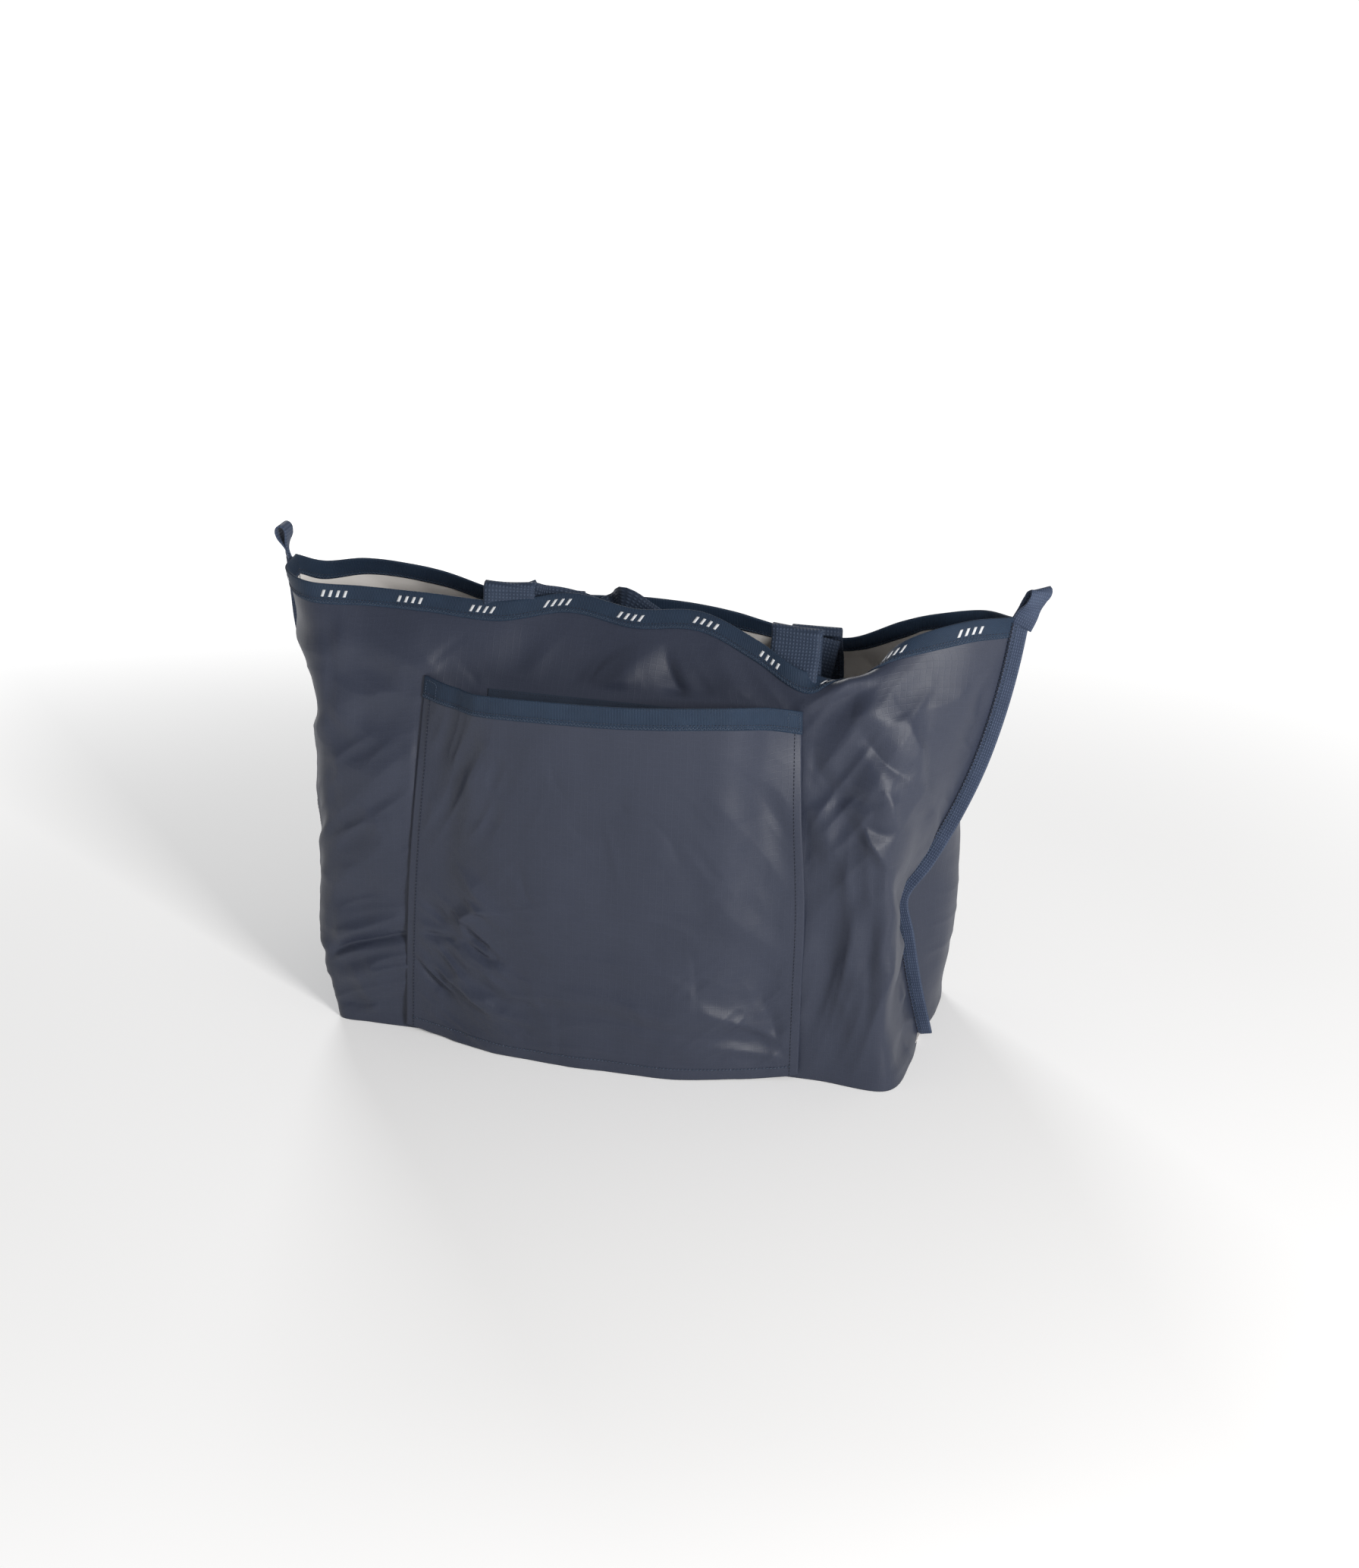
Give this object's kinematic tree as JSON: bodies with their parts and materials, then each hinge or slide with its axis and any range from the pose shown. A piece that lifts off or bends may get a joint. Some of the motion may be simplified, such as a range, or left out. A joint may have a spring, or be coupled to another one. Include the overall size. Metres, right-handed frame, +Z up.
{
  "type": "foldable tote bag",
  "caption": "Light open-top travel tote with flared side seams, folded-in web handles, corner pull loops, zipped rear pocket and a sleeve for a suitcase handle.",
  "frame": {"origin": "underside of the base panel, on the line between the two side seams", "axes": "+X along the width, +Y from the trolley-sleeve side to the front, +Z up"},
  "size_m": [0.5802, 0.2056, 0.3742],
  "materials": {
    "ripstop_nylon": "satin",
    "rim_grosgrain": "ribbed",
    "seam_webbing": "woven",
    "handle_webbing": "woven",
    "pocket_cloth": "satin",
    "zip_tape": "woven",
    "zip_brass": "polished"
  },
  "bodies": {
    "bag": {"rear_panel": "ripstop_nylon", "front_panel": "ripstop_nylon", "base_panel": "ripstop_nylon", "trolley_sleeve": "ripstop_nylon", "rear_rim_tape": "rim_grosgrain", "front_rim_tape": "rim_grosgrain", "sleeve_top_binding": "rim_grosgrain", "left_side_binding": "seam_webbing", "right_side_binding": "seam_webbing", "pocket_pouch": "pocket_cloth", "zip_lower_tape": "zip_tape", "zip_upper_tape": "zip_tape", "zip_chain": "zip_brass", "zip_stops": "zip_brass", "rear_handle_left_end": "handle_webbing", "rear_handle_left_leg": "handle_webbing", "rear_handle_right_end": "handle_webbing", "rear_handle_right_leg": "handle_webbing", "front_handle_left_end": "handle_webbing", "front_handle_left_leg": "handle_webbing", "front_handle_right_end": "handle_webbing", "front_handle_right_leg": "handle_webbing"},
    "rear_handle": {"rear_handle_grip": "handle_webbing"},
    "front_handle": {"front_handle_grip": "handle_webbing"},
    "zip_slider": {"zip_slider": "zip_brass"},
    "zip_pull": {"zip_pull": "zip_brass"},
    "left_loop": {"left_pull_loop": "seam_webbing"},
    "right_loop": {"right_pull_loop": "seam_webbing"}
  },
  "joints": [
    {"name": "rear_handle_lift", "type": "slide", "parent": "bag", "child": "rear_handle", "axis": [0, 0, 1], "range_m": [0, 0.45], "deforming": ["rear_handle_left_leg", "rear_handle_right_leg"]},
    {"name": "front_handle_lift", "type": "slide", "parent": "bag", "child": "front_handle", "axis": [0, 0, 1], "range_m": [0, 0.45], "deforming": ["front_handle_left_leg", "front_handle_right_leg"]},
    {"name": "zip_slide", "type": "slide", "parent": "bag", "child": "zip_slider", "axis": [1, 0, 0], "range_m": [0, 0.166]},
    {"name": "zip_pull_swing", "type": "hinge", "parent": "zip_slider", "child": "zip_pull", "pos_m": [-0.083, -0.07521, 0.27161], "axis": [-1, 0, 0], "range_deg": [0, 150]},
    {"name": "left_loop_flex", "type": "hinge", "parent": "bag", "child": "left_loop", "pos_m": [-0.281, 0, 0.3495], "axis": [0, 1, 0], "range_deg": [-35, 35], "stiffness_Nm_per_rad": 0.02},
    {"name": "right_loop_flex", "type": "hinge", "parent": "bag", "child": "right_loop", "pos_m": [0.281, 0, 0.3525], "axis": [0, 1, 0], "range_deg": [-35, 35], "stiffness_Nm_per_rad": 0.02}
  ]
}
